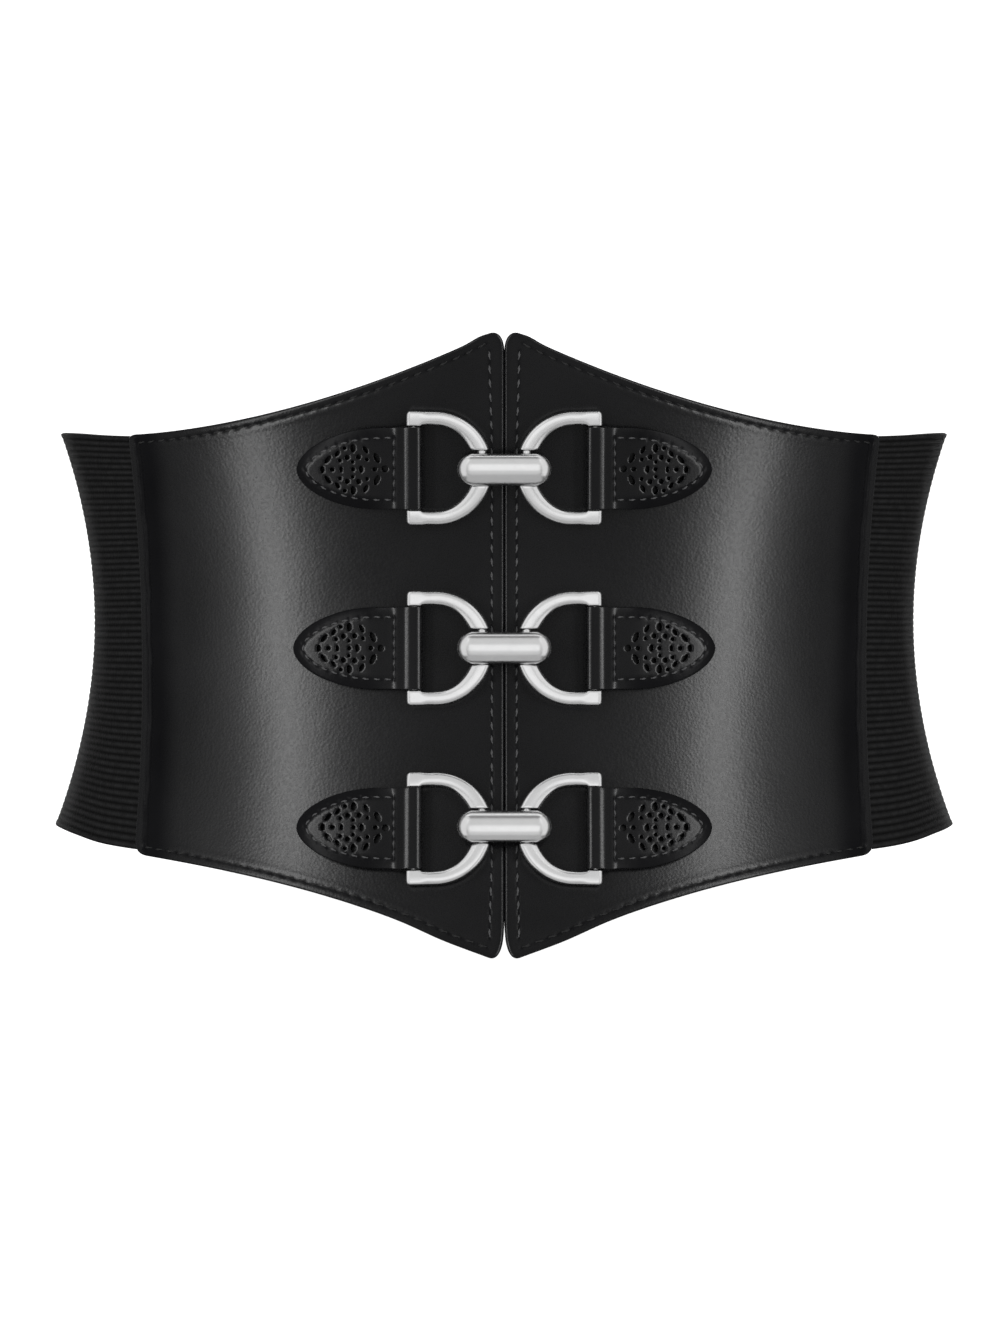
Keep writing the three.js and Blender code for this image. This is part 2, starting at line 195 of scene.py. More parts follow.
# Tabs' details: the point, the raised middle, the sewn line and the pierced pattern. Each hole has
# its place from the tip, its place off the axis, its length, its width and its lean. Those off the
# axis are paired.
TAB_HALF_WIDTH = STRAP_WIDTH / 2 + 0.2
TAB_POINT_LENGTH = 25
TAB_POINT_POWERS = (1.8, 0.55)
TAB_BEVEL = 0.28
HOLE_BEVEL = 0.14
TAB_CROWN = 1.1
TAB_CROWN_REACH = 3.8
TAB_CROWN_POWER = 1.15
TAB_EDGE_DROP = 0.35
# The next value is how strong the painted shade on the tab's rim is; TAB_DENT_SHADE below is how far painted
# shade spreads round each needle dent.
TAB_RIM_PAINTED_SHADE = 0.9
TAB_STITCH_INSET = 3
TAB_STITCH_PITCH = 3.35
TAB_STITCH_SHARES = (0.2, 0.8)
TAB_STITCH_LEAN = 0.1
TAB_GROOVE = (0.1, 0.45)
TAB_DENT = (0.3, 0.4)
TAB_DENT_SHADE = 0.5
TAB_ROW_FROM_SPINE = 5.6
PIERCINGS = (
    (8.6, 0, 2.2, 1.3, 90),
    (11.7, 0, 1.4, 1.2, 0),
    (14.5, 0, 1.9, 1.0, 90),
    (18.2, 0, 1.2, 1.2, 0),
    (20.7, 0, 2.2, 1.3, 90),
    (24.9, 0, 1.4, 1.3, 0),
    (27.9, 0, 2.0, 2.0, 0),
    (10.3, 3.1, 3.0, 1.2, 48),
    (16.4, 3.7, 1.5, 1.5, 0),
    (19.9, 3.8, 1.5, 1.5, 0),
    (18.2, 6.5, 2.6, 1.6, 90),
    (25.5, 3.4, 3.2, 1.6, -65),
    (13.3, 4.9, 2.1, 1.1, 55),
    (22.1, 6.0, 2.5, 1.2, -60),
    (22.5, 3.0, 1.1, 1.1, 0),
    (14.1, 2.8, 1.1, 1.1, 0),
    (18.1, 2.3, 1.0, 1.0, 0),
    (15.6, 6.6, 1.2, 1.0, 0),
)

# Colours, dark and light.
LEATHER_COLOURS = ((0.0032, 0.0032, 0.0036), (0.005, 0.005, 0.0055))
LINING_COLOURS = ((0.004, 0.004, 0.0045), (0.02, 0.02, 0.021))
# The elastic's darker colour is painted shade in the grooves between its ribs.
ELASTIC_COLOURS = ((0.0007, 0.0007, 0.0008), (0.0095, 0.0095, 0.0099))
METAL_COLOURS = ((0.80, 0.80, 0.805), (0.88, 0.88, 0.88))
THREAD_COLOURS = ((0.03, 0.03, 0.031), (0.062, 0.062, 0.064))
# The same thread darker, as painted shade for the stitches along the panels' top and bottom edges.
SHADED_THREAD_COLOURS = ((0.004, 0.004, 0.0042), (0.012, 0.012, 0.0125))
FLOOR_COLOURS = ((0.9, 0.9, 0.9), (0.93, 0.93, 0.93))

# Sizes that follow from those above.
BAND_START = PANEL_WIDTH - SEAM_OVERLAP
PANEL_INNER = ELASTIC_THICKNESS + SEAM_GAP
PANEL_OUTER = PANEL_INNER + PANEL_THICKNESS
RING_HALF_HEIGHT = STRAP_WIDTH / 2 + FOOT_CLEARANCE + FOOT_HEIGHT
ARM_MIDDLE = RING_HALF_HEIGHT - WIRE_WIDTH / 2
ARM_CUT = BAR_WIDTH / 2 + BAR_GAP
RING_SPAN = math.sqrt(ARM_MIDDLE**2 - ARM_CUT**2) + RING_LEG_LENGTH - FOOT_WIDTH / 2
PIN_X = PIN_SPACING / 2
PIN_HOLE = PIN_RADIUS + PIN_CLEARANCE
LUG_RADIUS = PIN_HOLE + LUG_WALL
PIN_HEIGHT = LUG_RADIUS + LUG_GAP
BAR_BACK = PIN_HEIGHT + PIN_HOLE + PIN_COVER
LOOP_OUTER = SPINE_RADIUS + SPINE_CLEARANCE + STRAP_THICKNESS
FRONT_BULGE = FRONT_FLARE * (STRAP_WIDTH / 2 / FLARE_SPAN) ** 2
SPINE_HEIGHT = LOOP_OUTER + STRAP_GAP + FRONT_BULGE
LOWER_MIDDLE = STRAP_GAP + STRAP_THICKNESS / 2
UPPER_MIDDLE = LOWER_MIDDLE + STRAP_THICKNESS + LAYER_GAP


# Shapes of curves.
def smoothstep(value, low, high):
    share = np.clip((value - low) / (high - low), 0, 1)
    return share * share * (3 - 2 * share)


def lerp(low, high, share):
    return low + (high - low) * share


def bell(value, width):
    """One at zero, and falling away from there."""
    return np.exp(-((value / width) ** 2))


def mark(distance, size):
    """A dent or ridge of a given depth and width."""
    return size[0] * bell(distance, size[1])


def squared(wave, power):
    """A sine or cosine pushed towards its two ends, which makes a circle squarish."""
    return np.sign(wave) * np.abs(wave) ** power


def points_at(*coordinates):
    return np.stack(np.broadcast_arrays(*coordinates), axis=-1)


def unit(vectors):
    return vectors / np.maximum(np.linalg.norm(vectors, axis=-1, keepdims=True), 1e-9)


def round_turn(count):
    """Angles evenly round a circle."""
    return np.linspace(0, 2 * np.pi, count, endpoint=False)


def bend(start, corner, end, share):
    """Points on the curve that leaves start towards the corner and comes from it to end."""
    return (1 - share) ** 2 * start + 2 * share * (1 - share) * corner + share**2 * end


def turned(first, second, angle):
    """Two coordinates after a turn."""
    cosine, sine = math.cos(angle), math.sin(angle)
    return first * cosine - second * sine, first * sine + second * cosine


def smooth_table(at, places, values):
    """Smooth curve through the rows of a table."""
    places = np.asarray(places, float)
    values = np.asarray(values, float)
    slopes = np.gradient(values, places)
    upper = np.clip(np.searchsorted(places, at), 1, len(places) - 1)
    span = places[upper] - places[upper - 1]
    share = np.clip((at - places[upper - 1]) / span, 0, 1)
    start = (1 + 2 * share) * (1 - share) ** 2 * values[upper - 1]
    end = share**2 * (3 - 2 * share) * values[upper]
    start_turn = share * (1 - share) ** 2 * slopes[upper - 1] * span
    end_turn = share**2 * (share - 1) * slopes[upper] * span
    return start + end + start_turn + end_turn


# The worn form.
def waist_size(height, lift):
    """Half the width and half the depth of the level ellipse at a height."""
    flare = ((height - WAIST_LEVEL) / FLARE_SPAN) ** 2
    return WAIST_HALF_WIDTH + lift + SIDE_FLARE * flare, WAIST_HALF_DEPTH + lift + FRONT_FLARE * flare


def on_waist(angle, height, lift):
    wide, deep = waist_size(height, lift)
    return points_at(wide * np.sin(angle), -deep * np.cos(angle), height)


def waist_normal(angle, height, lift):
    wide, deep = waist_size(height, lift)
    growth = 2 * (height - WAIST_LEVEL) / FLARE_SPAN**2
    tilt = wide * FRONT_FLARE * np.cos(angle) ** 2 + deep * SIDE_FLARE * np.sin(angle) ** 2
    return unit(points_at(deep * np.sin(angle), -wide * np.cos(angle), -growth * tilt))


def angle_along(length, height, lift):
    """Angle from the centre front of the point a given length round the level ellipse."""
    steps = 24
    step = length / steps
    wide, deep = waist_size(height, lift)
    angle = 0 * (step + height)
    for _ in range(steps):
        half = angle + step / 2 / np.hypot(wide * np.cos(angle), deep * np.sin(angle))
        angle = angle + step / np.hypot(wide * np.cos(half), deep * np.sin(half))
    return angle


# Lines.
def walked(points):
    """How far along a line each of its points lies."""
    steps = np.linalg.norm(np.diff(points, axis=0), axis=1)
    return np.concatenate([[0], np.cumsum(steps)])


def line_length(points):
    return np.linalg.norm(np.diff(points, axis=0), axis=1).sum()


def at_lengths(points, lengths):
    """Points at given lengths along an open line."""
    length = walked(points)
    return points_at(*[np.interp(lengths, length, part) for part in points.T])


def along_line(points, shares):
    return at_lengths(points, np.asarray(shares) * walked(points)[-1])


def resampled(points, count):
    """Evenly spaced points along an open line, as many as count."""
    return at_lengths(points, np.linspace(0, walked(points)[-1], count))


def closed_line(points):
    return np.concatenate([points, points[:1]])


def line_normals(points, closed=False):
    """Unit normals at the left of a flat line's direction."""
    if closed:
        tangent = np.roll(points, -1, axis=0) - np.roll(points, 1, axis=0)
    else:
        tangent = np.gradient(points, axis=0)
    tangent = unit(tangent)
    return points_at(-tangent[:, 1], tangent[:, 0])


def nearest(points, targets):
    """Distance from each flat point to the nearest target."""
    best = np.full(len(points), np.inf)
    for start in range(0, len(targets), 200):
        gap = points[:, None, :] - targets[None, start : start + 200, :]
        best = np.minimum(best, np.sqrt((gap**2).sum(axis=2)).min(axis=1))
    return best


def winding(points, loop):
    """How far a closed flat line turns round each point, in radians."""
    ray = closed_line(loop)[None] - points[:, None]
    step = np.diff(np.arctan2(ray[..., 1], ray[..., 0]), axis=1)
    return ((step + np.pi) % (2 * np.pi) - np.pi).sum(axis=1)


# Meshes.
def strip(first, second):
    """Faces between two closed rows of point numbers."""
    return [list(face) for face in zip(first, first[1:] + first[:1], second[1:] + second[:1], second)]


def grid_faces(ids, flip=False):
    """Faces of a grid of point numbers."""
    corners = points_at(ids[:-1, :-1], ids[1:, :-1], ids[1:, 1:], ids[:-1, 1:]).reshape(-1, 4)
    return (corners[:, [0, 3, 2, 1]] if flip else corners).tolist()


def tube_faces(rows, columns, closed=False):
    """Faces between rows that are closed loops. A closed tube's last row meets its first."""
    ids = np.arange(rows * columns).reshape(rows, columns).tolist()
    following = ids[1:] + ids[:1] if closed else ids[1:]
    return [face for first, second in zip(ids, following) for face in strip(first, second)]


def lofted(sections, closed=False):
    """Body through sections of equal counts: closed like a ring, or capped by a point at each end."""
    sections = np.asarray(sections)
    rows, columns = sections.shape[:2]
    points = sections.reshape(-1, 3)
    faces = tube_faces(rows, columns, closed)
    if closed:
        return points, faces
    last_row = (rows - 1) * columns
    for j in range(columns):
        k = (j + 1) % columns
        faces.append([len(points), k, j])
        faces.append([len(points) + 1, last_row + j, last_row + k])
    return np.concatenate([points, sections[[0, -1]].mean(axis=1)]), faces


def swept(path, radius, sides, normal):
    """Tube along a path. The normal says which way its sections start."""
    tangent = unit(np.gradient(path, axis=0))
    across = unit(np.cross(tangent, normal))
    up = np.cross(across, tangent)
    turn = round_turn(sides)[None, :, None]
    ring = across[:, None, :] * np.cos(turn) + up[:, None, :] * np.sin(turn)
    return lofted(path[:, None, :] + ring * np.reshape(radius, (-1, 1, 1)))


def joined(parts):
    """Points and faces of several bodies as one list of each."""
    points, faces, start = [], [], 0
    for part_points, part_faces in parts:
        points.append(part_points)
        faces.extend([[i + start for i in face] for face in part_faces])
        start += len(part_points)
    return np.concatenate(points), faces


class Skin:
    """A mesh that is added row by row, with each point's flat place and its painted shade, which darkens the
    leather's reflection there.
    """

    def __init__(self):
        self.points, self.surface, self.faces, self.count = [], [], [], 0

    def add(self, points, flat, painted_shade):
        """Adds points and gives their numbers."""
        self.points.append(points)
        self.surface.append(np.column_stack([flat, np.broadcast_to(painted_shade, len(flat))]))
        self.count += len(points)
        return list(range(self.count - len(points), self.count))

    def whole(self):
        return np.concatenate(self.points), self.faces, np.concatenate(self.surface)


def put_in_scene(name, data):
    holder = bpy.data.objects.new(name, data)
    bpy.context.scene.collection.objects.link(holder)
    return holder


def make_piece(name, points, faces, looks, slot, node=None, face_looks=None, surface=None):
    mesh = bpy.data.meshes.new(name)
    mesh.from_pydata((points * MM).tolist(), [], faces)
    for look in looks:
        mesh.materials.append(look)
    if face_looks is not None:
        mesh.polygons.foreach_set("material_index", np.asarray(face_looks, np.int32))
    mesh.polygons.foreach_set("use_smooth", np.ones(len(mesh.polygons), bool))
    form = bmesh.new()
    form.from_mesh(mesh)
    bmesh.ops.recalc_face_normals(form, faces=form.faces)
    form.to_mesh(mesh)
    form.free()
    mesh.validate()
    if surface is not None:
        place = mesh.attributes.new("surface", "FLOAT_VECTOR", "POINT")
        place.data.foreach_set("vector", np.asarray(surface, np.float32).ravel())
    piece = put_in_scene(name, mesh)
    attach(piece, "root")
    if node:
        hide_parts(node)
    return piece


# Materials.
class Nodes:
    """The nodes of a material or of the surround."""

    def __init__(self, owner):
        owner.use_nodes = True
        self.tree = owner.node_tree

    def feed(self, node, inputs):
        """Sets a node's inputs to values, or links them to other nodes' outputs."""
        for name, value in inputs.items():
            if isinstance(value, bpy.types.NodeSocket):
                self.tree.links.new(value, node.inputs[name])
            else:
                node.inputs[name].default_value = value

    def node(self, kind, inputs=None, **settings):
        node = self.tree.nodes.new("ShaderNode" + kind)
        for name, value in settings.items():
            setattr(node, name, value)
        self.feed(node, inputs or {})
        return node


class Look(Nodes):
    """A material as it is put together. Its place is the object's own, in millimetres."""

    def __init__(self, name):
        self.material = bpy.data.materials.new(name)
        super().__init__(self.material)
        inputs = {0: self.node("TexCoord").outputs["Object"], "Scale": 1 / MM}
        self.place = self.node("VectorMath", inputs, operation="SCALE").outputs[0]

    def surface(self):
        """Place on the piece laid out flat as X and Y, and its painted shade as Z."""
        place = self.node("Attribute", attribute_name="surface").outputs["Vector"]
        return place, self.node("SeparateXYZ", {"Vector": place}).outputs

    def noise(self, scale, detail=3.0, roughness=0.5):
        inputs = {"Vector": self.place, "Scale": scale, "Detail": detail, "Roughness": roughness}
        return self.node("TexNoise", inputs).outputs["Fac"]

    def cells(self, place, scale):
        return self.node("TexVoronoi", {"Vector": place, "Scale": scale}).outputs["Distance"]

    def ramp(self, value, low, high, to_low=0, to_high=1):
        inputs = {"Value": value, "From Min": low, "From Max": high, "To Min": to_low, "To Max": to_high}
        return self.node("MapRange", inputs).outputs["Result"]

    def mixed(self, value, colours):
        inputs = {"Factor": value, "A": (*colours[0], 1), "B": (*colours[1], 1)}
        return self.node("Mix", inputs, data_type="RGBA").outputs["Result"]

    def bump(self, height, distance, strength, **below):
        inputs = {"Height": height, "Distance": distance * MM, "Strength": strength, **below}
        return self.node("Bump", inputs).outputs["Normal"]

    def finished(self, inputs):
        self.feed(self.tree.nodes["Principled BSDF"], inputs)
        return self.material


def leather_look(name, rough_low, rough_high, shine, relief):
    """Smooth leather, whose reflection painted shade lowers in needle holes, beside the hem and on rims."""
    look = Look(name)
    soft = look.bump(look.noise(0.07, 2), 0.5, 0.15)
    pebble = look.bump(look.cells(look.place, 1.1), 0.055, 0.38 * relief, Normal=soft)
    return look.finished({
        "Base Color": look.mixed(look.ramp(look.noise(0.035, 4), 0.3, 0.7), LEATHER_COLOURS),
        "Roughness": look.ramp(look.noise(0.9, 5, 0.7), 0.3, 0.7, rough_low, rough_high),
        # Painted shade: where the surface attribute's Z is one, the reflection drops from shine to almost
        # none.
        "Specular IOR Level": look.ramp(look.surface()[1]["Z"], 0, 1, shine, 0.02),
        "Normal": look.bump(look.noise(3.2, 4, 0.65), 0.025, 0.3 * relief, Normal=pebble),
    })


def lining_look():
    """Twill cloth."""
    look = Look("Lining")
    inputs = {"Vector": look.surface()[0], "Scale": 0.34, "Distortion": 0.6, "Detail Scale": 2}
    twill = look.node("TexWave", inputs, bands_direction="DIAGONAL").outputs["Fac"]
    rough = look.bump(look.noise(2.6, 6, 0.8), 0.12, 0.6)
    return look.finished({
        "Base Color": look.mixed(twill, LINING_COLOURS),
        "Roughness": 0.95,
        "Sheen Weight": 0.15,
        "Normal": look.bump(twill, 0.12, 0.5, Normal=rough),
    })


def elastic_look():
    """Knitted rubber webbing, with painted shade in the grooves between its ribs and a tone that varies in
    patches.
    """
    look = Look("Ribbed_elastic")
    threads, parts = look.surface()
    rib = look.node("Math", {0: parts["Y"], 1: 1}, operation="PINGPONG").outputs[0]
    patches = look.ramp(look.noise(0.35, 4, 0.6), 0.35, 0.65, 0.55)
    # Painted shade: the colour is darkest in the grooves between the ribs and lightest on their crests, times
    # a patchy tone.
    groove_shade_and_patches = look.node("Math", {0: look.ramp(rib, 0.08, 0.85), 1: patches}, operation="MULTIPLY")
    knit = look.bump(look.ramp(look.cells(threads, 1), 0.1, 0.7, 1, 0), 0.14, 0.7)
    return look.finished({
        "Base Color": look.mixed(groove_shade_and_patches.outputs[0], ELASTIC_COLOURS),
        "Roughness": 0.8,
        "Specular IOR Level": 0.15,
        "Normal": look.bump(look.noise(3, 4, 0.7), 0.06, 0.4, Normal=knit),
    })


def metal_look():
    """Cast metal with a satin finish."""
    look = Look("Satin_steel")
    return look.finished({
        "Base Color": look.mixed(look.noise(0.25, 4), METAL_COLOURS),
        "Metallic": 1,
        "Roughness": look.ramp(look.noise(0.7, 5), 0.3, 0.7, 0.21, 0.26),
        "Normal": look.bump(look.noise(0.35), 0.03, 0.1),
    })


def thread_look(name, colours):
    look = Look(name)
    return look.finished({
        "Base Color": look.mixed(look.noise(3, 4), colours),
        "Roughness": 0.6,
        "Normal": look.bump(look.noise(6, 4), 0.05, 0.5),
    })


PANEL_LEATHER = leather_look("Panel_leather", 0.24, 0.3, 0.42, 1)
TAB_LEATHER = leather_look("Tab_leather", 0.25, 0.3, 0.38, 0.5)
LINING = lining_look()
ELASTIC = elastic_look()
METAL = metal_look()
THREAD = thread_look("Thread", THREAD_COLOURS)
SHADED_THREAD = thread_look("Dark_thread", SHADED_THREAD_COLOURS)


# Front panel at the viewer's right, drawn flat: length round from the centre front, and height.
def long_edge(share, edge):
    """A long edge of the panel at shares of its width: length round and height."""
    length = share * PANEL_WIDTH
    level = edge["sign"] * edge["side"]
    seen = np.sin(angle_along(length, level, PANEL_OUTER))
    to_seam = 1 - seen / np.sin(angle_along(PANEL_WIDTH, level, PANEL_OUTER))
    straight, power = edge["curve"]
    rise = straight * to_seam + (1 - straight) * to_seam**power
    height = edge["side"] + (edge["point"] - edge["side"]) * rise
    width, drop, power = edge["corner"]
    near = np.clip(1 - length / width, 0, 1)
    height = height - drop * (1 - (1 - near**power) ** (1 / power))
    for rise, place, width in edge["swells"]:
        height = height + rise * bell(length - place, width)
    return points_at(edge["width"] * PANEL_WIDTH * share, edge["sign"] * height)


def seam_width(row):
    """How far round the panel's outer edge is at shares of its height, 0 at the bottom."""
    return smooth_table(row, SEAM_HEIGHTS, SEAM_WIDTHS) * PANEL_WIDTH


def rounded_corner(before, after, radius):
    """Two lines that meet, with the corner between them turned into a curve."""
    first = before[np.linalg.norm(before - before[-1], axis=1) > radius]
    second = after[np.linalg.norm(after - after[0], axis=1) > radius]
    curve = bend(first[-1], before[-1], second[0], np.linspace(0, 1, 12)[1:-1, None])
    return np.concatenate([first, curve, second])


def panel_outline():
    """Closed outline, from the centre's bottom up the centre, along the top and down the seam."""
    share = np.linspace(0, 1, 900) ** 2
    bottom = long_edge(share, BOTTOM_EDGE)[::-1]
    row = np.linspace(1, 0, 400)
    seam = points_at(seam_width(row), lerp(-PANEL_SIDE_BOTTOM, PANEL_SIDE_TOP, row))
    edge = rounded_corner(long_edge(share, TOP_EDGE), seam, SEAM_CORNER_TOP)
    edge = rounded_corner(edge, bottom, SEAM_CORNER_BOTTOM)
    centre = np.linspace(bottom[-1], edge[0], 600)[1:-1]
    return np.concatenate([centre, edge])


def stitch_lines():
    """The sewn lines of the right panel: up the centre, and along the top and the bottom."""
    height = np.linspace(*CENTRE_STITCH_SPAN, 300)
    length = lerp(CENTRE_STITCH, CENTRE_STITCH_ENDS, smoothstep(np.abs(height), 60, 90))
    lines = [points_at(length, height)]
    for edge in (TOP_EDGE, BOTTOM_EDGE):
        line = long_edge(np.linspace(*EDGE_STITCH_SPAN, 300), edge)
        lines.append(line - edge["sign"] * line_normals(line) * STITCH_INSET)
    return lines


def stitch_holes(line, pitch):
    return resampled(line, round(line_length(line) / pitch) + 1)


OUTLINE = panel_outline()
STITCH_LINES = stitch_lines()
STITCH_HOLES = [stitch_holes(line, PANEL_PITCH) for line in STITCH_LINES]
THREAD_ENDS = [lerp(holes[:-1], holes[1:], share) for holes in STITCH_HOLES for share in STITCH_SHARES]


def panel_relief(flat):
    """How far the leather stands off its smooth form, and the painted shade at each point: round needle
    holes, a soft shadow inside the hem, and on the rim.
    """
    length, height = flat.T
    line = nearest(flat, np.concatenate([resampled(part, 260) for part in STITCH_LINES]))
    needle = nearest(flat, np.concatenate(THREAD_ENDS))
    edge = nearest(flat, OUTLINE[::3])
    row = np.clip((height + PANEL_SIDE_BOTTOM) / (PANEL_SIDE_BOTTOM + PANEL_SIDE_TOP), 0, 1)
    uneven = 0.3 * np.sin(height / 4.3) * np.sin(height / 9.7 + 1) + 0.12 * np.sin(height / 1.6)
    past_hem = seam_width(row) - length + uneven - HEM_WIDTH

    relief = -mark(line, THREAD_GROOVE) - mark(needle, NEEDLE_DENT)
    relief += mark(line - 1.5, THREAD_RIDGE) * smoothstep(edge, 0.2, 1)
    relief += HEM_STEP * (1 - smoothstep(past_hem, -1.5, 0)) * smoothstep(edge, -0.4, 1.2)
    relief -= mark(past_hem - 0.25, HEM_FOLD) * smoothstep(edge, 0.2, 2)
    waves = np.sin(length / 11 + 1.3 * np.sin(height / 23)) * np.sin(height / 17 + 0.8)
    relief += WAVE_HEIGHT * waves * smoothstep(edge, 2, 14)

    # Painted shadow: a soft dark band just inside the hem, and painted shade round each needle hole.
    shadow_beside_hem = (1 - smoothstep(past_hem, 4, 14)) * smoothstep(past_hem, -1.7, -0.9)
    painted_shade = np.maximum(bell(needle, NEEDLE_SHADE), shadow_beside_hem)
    # Painted shade on the rim, which stops the rounded edge catching light.
    return relief, np.maximum(painted_shade, RIM_PAINTED_SHADE * (1 - smoothstep(edge, 0.8, 2.2)))


def panel_place(flat, lift):
    return on_waist(angle_along(flat[:, 0], flat[:, 1], PANEL_OUTER), flat[:, 1], lift)


def crowded(length):
    """Places along a panel's side, as shares, close together near both ends."""
    near = np.arange(0, FINE_REACH, FINE_STEP)
    inner = round((length - 2 * FINE_REACH) / COARSE_STEP)
    while (2 * len(near) + inner) % LINING_CELL:
        inner += 1
    middle = np.linspace(FINE_REACH, length - FINE_REACH, inner + 1)
    return np.concatenate([near, middle, length - near[::-1]]) / length


def panel_sides(radius):
    """The left, top, right and bottom of the panel's face, and those of its rim outside them."""
    corners = [int(np.argmax(OUTLINE @ np.array(way))) for way in ((-1, -1), (-1, 1), (1, 1), (1, -1))]
    outer = np.roll(OUTLINE, -corners[0], axis=0)
    corners = [(corner - corners[0]) % len(outer) for corner in corners] + [len(outer)]
    normals = -line_normals(outer, closed=True)
    smooth = sum(np.roll(normals, i, axis=0) for i in range(-2, 3)) / 5
    inner = outer + unit(smooth) * radius
    places = [crowded(PANEL_UPRIGHT), crowded(PANEL_LEVEL)] * 2
    return [
        [along_line(loop[a : b + 1], shares) for a, b, shares in zip(corners, corners[1:], places)]
        for loop in (closed_line(inner), closed_line(outer))
    ]


def border(columns, rows):
    """The places round a grid: up its left, along its top and back."""
    there = [(0, j) for j in range(rows)] + [(i, rows) for i in range(columns)]
    return there + [(columns - i, rows - j) for i, j in there]


def coons(bottom, top, left, right):
    """Grid between four sides. Bottom and top run left to right, left and right run upwards."""
    u = (walked(bottom) / line_length(bottom))[:, None, None]
    v = (walked(left) / line_length(left))[None, :, None]
    across = (1 - u) * left + u * right
    along = (1 - v) * bottom[:, None] + v * top[:, None]
    low_corners = (1 - u) * (1 - v) * bottom[0] + u * (1 - v) * bottom[-1]
    return across + along - (low_corners + (1 - u) * v * top[0] + u * v * top[-1])


def panel_mesh():
    """The panel's face, rim and lining, with which of its faces are lining."""
    radius = PANEL_THICKNESS / 2
    inner_sides, outer_sides = panel_sides(radius)
    left, top, right, bottom = inner_sides
    grid = coons(bottom[::-1], top, left, right[::-1])
    shape = grid.shape[:2]
    columns, rows = shape[0] - 1, shape[1] - 1
    flat = grid.reshape(-1, 2)
    relief, painted_shade = panel_relief(flat)
    skin = Skin()
    face_ids = np.reshape(skin.add(panel_place(flat, PANEL_OUTER + relief), flat, painted_shade), shape)
    skin.faces += grid_faces(face_ids)

    # The rim runs round in the same order as the outline.
    around = border(columns, rows)
    inner, outer = (np.concatenate([side[:-1] for side in sides]) for sides in (inner_sides, outer_sides))
    relief, painted_shade = panel_relief(inner)
    previous = [int(face_ids[place]) for place in around]
    for turn in np.radians(RIM_DEGREES):
        ring = lerp(inner, outer, np.sin(turn))
        lift = PANEL_INNER + radius + radius * np.cos(turn) + relief * max(0.0, np.cos(turn))
        current = skin.add(panel_place(ring, lift), ring, painted_shade)
        skin.faces += strip(current, previous)
        previous = current
    outside = len(skin.faces)

    # The lining has one cell under several of the face's, and its outermost cells meet the whole rim.
    step = LINING_CELL
    back_ids = np.full(shape, -1)
    for place, number in zip(around, previous):
        back_ids[place] = number
    inside = grid[step:columns:step, step:rows:step]
    flat = inside.reshape(-1, 2)
    numbers = skin.add(panel_place(flat, PANEL_INNER), flat, 0)
    back_ids[step:columns:step, step:rows:step] = np.reshape(numbers, inside.shape[:2])
    walk = border(step, step)
    for i in range(0, columns, step):
        for j in range(0, rows, step):
            cell = [int(back_ids[i + a, j + b]) for a, b in walk[1:] + walk[:1]]
            skin.faces.append([number for number in cell if number >= 0])
    return skin.whole(), np.arange(len(skin.faces)) >= outside


# Thread.
def thread_ends(holes, shares, lean=0):
    """Where each stitch of a row of holes starts and ends, leaning a little across the line."""
    starts, ends = (lerp(holes[:-1], holes[1:], share) for share in shares)
    return starts + lean, ends - lean


def stitch(start, end, out, radius):
    """Two twisted strands from hole to hole, diving into the leather at both ends."""
    share = np.linspace(0, 1, 9)
    rise = radius * 1.5 * np.sin(np.pi * share) ** 0.6 - 1.1 * radius
    middle = lerp(start, end, share[:, None]) + out * rise[:, None]
    across = np.cross(out, unit(end - start))
    thick = radius * 0.62 * np.sin(np.pi * (0.12 + 0.76 * share)) ** 0.3
    bodies = []
    for strand in (0, np.pi):
        turn = strand + 1.6 * np.pi * share
        offset = across * np.cos(turn)[:, None] + out * np.sin(turn)[:, None]
        bodies.append(swept(middle + offset * radius * 0.5, thick, 6, out))
    return joined(bodies)


def panel_stitches(inside):
    """The panel's sewn lines, on its face or where they come out of the lining; the first has the plain
    thread and the others a darker copy painted as shade.
    """
    level, way, reach = PANEL_OUTER - THREAD_SINK, 1, 2 * PANEL_WIDTH
    if inside:
        level, way, reach = PANEL_INNER + THREAD_SINK, -1, BAND_START - 1
    bodies, looks = [], []
    # The centre line gets the plain thread; the top and bottom lines get the darker copy, which is painted
    # shade.
    for shaded, holes in zip((0, 1, 1), STITCH_HOLES):
        holes = holes[holes[:, 0] < reach]
        lean = line_normals(holes)[:-1] * THREAD_LEAN
        placed, normals = [], []
        for flat in thread_ends(holes, STITCH_SHARES, lean):
            angle = angle_along(flat[:, 0], flat[:, 1], PANEL_OUTER)
            placed.append(on_waist(angle, flat[:, 1], level))
            normals.append(waist_normal(angle, flat[:, 1], level) * way)
        for start, end, out in zip(*placed, unit(sum(normals))):
            bodies.append(stitch(start, end, out, PANEL_THREAD))
            looks += [shaded] * len(bodies[-1][1])
    return *joined(bodies), looks


def seam_stitches():
    """Zigzag that holds the end of the elastic, seen inside the belt."""
    count = round((ZIGZAG_SPAN[1] - ZIGZAG_SPAN[0]) / ZIGZAG_PITCH)
    height = np.linspace(*ZIGZAG_SPAN, count + 1)
    length = BAND_START + ZIGZAG_INSET + ZIGZAG_WIDTH * (np.arange(count + 1) % 2)
    angle = angle_along(length, height, ELASTIC_THICKNESS)
    placed = on_waist(angle, height, 0)
    ends = thread_ends(placed, ZIGZAG_SHARES)
    outs = -waist_normal(angle, height, 0)
    return joined([stitch(start, end, out, FINE_THREAD) for start, end, out in zip(*ends, outs)])


